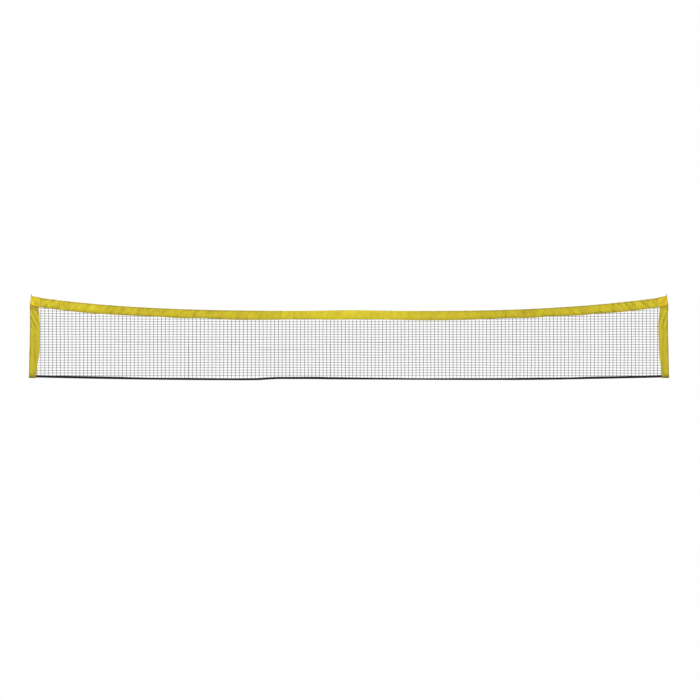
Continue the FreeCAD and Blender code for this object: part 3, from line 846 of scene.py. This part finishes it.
def patch_rows():
    """Sections of the pocket, from its outer edge inwards, closest where it turns."""
    rows = []
    for j in range(PATCH_ROWS + 1):
        a = -PATCH_REACH + (PATCH_END + PATCH_REACH) * (j / PATCH_ROWS) ** 1.5
        top, low, half = patch_top(a), patch_low(a), patch_half(a)
        narrow = min(CROWN_HALF + (BULGE - CROWN_HALF) * ease(a / 0.05), half) / max(half, 1e-6)
        flat = 0.8 * (1 - ease((a - CROWN_FLAT) / 0.03))
        walls = []
        for face in (1, -1):
            wall = []
            for rise in (0.0, 0.1, 0.2, 0.3, 0.42, 0.55, 0.7, 0.84):
                level = low + (top - low) * rise
                body = half * (1 + (narrow - 1) * ease((level - PATCH_TOP + 0.055) / 0.05))
                soft, folds = patch_wrinkle(a, level, face)
                free = min(half / PATCH_HALF, 1) * math.sqrt(max(rise * (1 - rise), 0)) * 2
                body += free * (0.0008 * soft + 0.0009 * folds)
                wall.append(Vector((a - POLE_X, face * body, level)))
            crown = half * narrow
            wall.append(Vector((a - POLE_X, face * crown, top - min(0.0035, 0.1 * (top - low)))))
            wall.append(Vector((a - POLE_X, face * crown * max(flat, 0.5),
                                top - 0.0007 * (1 - flat))))
            walls.append(wall)
        rows.append(smooth_path(folded(walls, Vector((a - POLE_X, 0, top))), PATCH_CELLS))
    return rows


def patch_light_and_shade(u, v):
    """Mottled, with painted shade in its wrinkles, along its rims where the cloth turns away, and
    at its seam.
    """
    rise = (1 - abs(u * 2 - 1)) * 1.1
    a = -PATCH_REACH + (PATCH_END + PATCH_REACH) * v ** 1.5
    level = patch_low(a) + rise * (patch_top(a) - patch_low(a))
    soft, folds = patch_wrinkle(a, level, -1)
    uneven = 0.85 + 0.45 * ruffle(a * 55.0, level * 55.0, 2.0)
    # Painted shade along the lower, outer and top rims and at the seam
    rim_shade = 0.46 * (1 - ease((rise - 0.01) / 0.18)) + 0.54 * bell(a, 0.085, 0.006)
    rim_shade += 0.42 * (1 - ease((a + PATCH_REACH) / 0.017)) + 0.42 * ease((rise - 0.87) / 0.1)
    return 0.64 + 0.34 * soft + 0.20 * folds - rim_shade * uneven


for side in ("left", "right"):
    rows = [sleeve_section(SLEEVE_LENGTH * j / SLEEVE_ROWS, side) for j in range(SLEEVE_ROWS + 1)]
    hem, patch = hem_rows(side), patch_rows()
    sign = -1
    if side == "right":
        rows, hem, patch = mirrored_rows(rows), mirrored_rows(hem), mirrored_rows(patch)
        sign = 1
    sleeve = cloth(side + "_sleeve_cloth", rows, yellow_sleeve, sleeve_light_and_shade(side))
    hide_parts(side + "_sleeve")
    runs = []
    for column in (1.4, SLEEVE_CELLS - 1.4):
        runs += seam(rows, (column, 2), (column, SLEEVE_ROWS - 8))
    thread = strands(side + "_sleeve_stitches", runs, STITCH_R, yellow_thread)
    binding = cloth(side + "_hem_cloth", hem, olive_hem, hem_light_and_shade)
    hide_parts(side + "_sleeve_hem")
    thread = strands(side + "_hem_stitches", seam(hem, (1, 1.2), (HEM_CELLS - 1, 1.2)), STITCH_R,
                     yellow_thread)
    pocket = cloth(side + "_patch_cloth", patch, yellow_patch, patch_light_and_shade,
                   hole=(Vector((sign * POLE_X, 0, PATCH_TOP)), EYELET_HOLE_R))
    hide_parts(side + "_corner_patch")
    last = PATCH_ROWS - 4
    runs = seam(patch, (1.5, last), (PATCH_CELLS - 1.5, last))
    runs += seam(patch, (1.2, 14), (1.2, PATCH_ROWS - 5))
    runs += seam(patch, (PATCH_CELLS - 1.2, 14), (PATCH_CELLS - 1.2, PATCH_ROWS - 5))
    thread = strands(side + "_patch_stitches", runs, STITCH_R, yellow_thread)


# Net: upright and level twines that meet in knots

LEFT_START, LEFT_PITCH = -2.6822, 0.03714
RIGHT_START, RIGHT_PITCH = -0.8160, 0.0355
CHANGE_COLUMN = 50
ROW_PITCH = 0.0247
FIRST_ROW = -0.3434
HEAVY_COLUMNS = (-1.532, -0.177)
HEAVY_NEAR = 0.018
HEAVY_TOP = -0.055
HEAVY_SPANS = {12: ((-2.225, -0.984), (-0.239, 0.506), (1.251, 2.244)), 9: ((-0.85, -0.315),)}


def column_x(n):
    """Place of upright n; the pitch changes gently left of the middle."""
    left = LEFT_START + LEFT_PITCH * n
    right = RIGHT_START + RIGHT_PITCH * (n - CHANGE_COLUMN)
    return left + (right - left) * ease((n - CHANGE_COLUMN + 10) / 20)


def row_z(k, x):
    """Height of level k, which bows a little at mid span."""
    bow = 1 - (x / 2.75) ** 2
    return FIRST_ROW + 0.0038 * bow + k * (ROW_PITCH - 0.0004 * bow)


def net_point(n, k):
    """Where a knot really lies: the net is drawn a little unevenly."""
    x = column_x(n)
    z = row_z(k, x)
    drift = Vector((ruffle(x * 1.5, z * 4.0), 0, ruffle(x * 2.0, z * 5.0, 9.0))) * 0.0016
    own = Vector((ruffle(n * 7.13, k * 3.71, 3.0) * 0.0011,
                  ruffle(n * 5.31, k * 6.17, 6.0) * 0.0004,
                  ruffle(n * 6.47, k * 4.39, 5.0) * 0.0009))
    return Vector((x, 0, z)) + drift + own


def net_end(z, side):
    """Distance of the sleeve's sewn edge from mid span at a height."""
    return POLE_X - net_edge(min(max(SLEEVE_TOP - z, 0), SLEEVE_LENGTH), side)


def inside_net(x, z, tuck=TUCK):
    """Whether a place is in the net, which goes on by tuck into the cloth round it."""
    return (abs(x) < net_end(z, "left" if x < 0 else "right") + tuck
            and tape_line(x) + tape_depth(x) - tuck < z < band_line(x) - band_depth(x) + tuck)


first_column = -int((LEFT_START + POLE_X) / LEFT_PITCH)
column_numbers = [n for n in range(first_column, 200) if abs(column_x(n)) < TAPE_REACH]
row_numbers = range(-1, 32)


def through_cells(points, sag, share_at):
    """Points of a strand, with one more in the middle of each cell that hangs by sag."""
    run = []
    for a, b in zip(points, points[1:]):
        run += [(a, share_at(a)), (a.lerp(b, 0.5) - Vector((0, 0, sag)), share_at(b))]
    return run + [(points[-1], share_at(points[-1]))]


def unbroken(places):
    """The (number, point) places as lists of points whose numbers follow each other."""
    runs, last = [], None
    for number, point in places:
        if last is None or number != last + 1:
            runs.append([])
        runs[-1].append(point)
        last = number
    return [run for run in runs if len(run) > 1]


def column_share(point):
    """Share of the twine's thickness in an upright; a few are heavier below HEAVY_TOP."""
    near = min(abs(point.x - place) for place in HEAVY_COLUMNS) < HEAVY_NEAR
    heavy = near and point.z < HEAVY_TOP and inside_net(point.x, point.z, -KNOT_R)
    return HEAVY_SHARE if heavy else 1.0


def row_share(k):
    """The same in level k, as a function of the point; two levels have heavier stretches."""
    spans = HEAVY_SPANS.get(k, ())
    return lambda point: HEAVY_SHARE if any(a < point.x < b for a, b in spans) else 1.0


uprights, knots = [], []
for n in column_numbers:
    x = column_x(n)
    places = [(k, net_point(n, k)) for k in row_numbers if inside_net(x, row_z(k, x))]
    top = Vector((x, 0, band_line(x) - band_depth(x) + TUCK))
    low = Vector((x, 0, tape_line(x) + tape_depth(x) * 0.35))
    for run in unbroken(places):
        if abs(x) < POLE_X - 0.09:
            run = [low] + run + [top]
        uprights.append(through_cells(run, 0, column_share))
    for _, point in places:
        if not inside_net(point.x, point.z, -KNOT_R):
            continue
        aside = rng.uniform(0.4, 0.9) * rng.choice((-1, 1))
        reach = Vector((aside, rng.uniform(-0.3, 0.3), 1)).normalized() * KNOT_REACH
        knots.append([(point - reach, 0.5), (point, 1.0), (point + reach, 0.5)])

levels = []
for k in row_numbers:
    places = [(n, net_point(n, k)) for n in column_numbers
              if inside_net(column_x(n), row_z(k, column_x(n)))]
    for run in unbroken(places):
        for side, sign, last in (("left", -1, run[0]), ("right", 1, run[-1])):
            sewn = sign * (net_end(last.z, side) + 0.006)
            if 0 < (sewn - last.x) * sign < 0.06:
                run.insert(0 if sign < 0 else len(run), Vector((sewn, 0, last.z)))
        levels.append(through_cells(run, LEVEL_SAG, row_share(k)))

upright_twine = strands("upright_twine", uprights, TWINE_R, net_yarn, rounds=1)
level_twine = strands("level_twine", levels, TWINE_R, net_yarn, rounds=1)
net_knots = strands("net_knots", knots, KNOT_R, net_yarn, rounds=1)
for piece in (upright_twine, level_twine, net_knots):
    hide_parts("net_mesh")

# Finishes of the pieces that stay as they were built

KEPT = {"pole_tube": tube_paint, "pole_plug": plug_plastic, "corner_pin": pin_metal,
        "corner_eyelet": nickel, "cord_ferrule": crimp_metal}
for side in ("left", "right"):
    for part, material in KEPT.items():
        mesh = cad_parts[side + "_" + part].data
        mesh.materials.clear()
        mesh.materials.append(material)
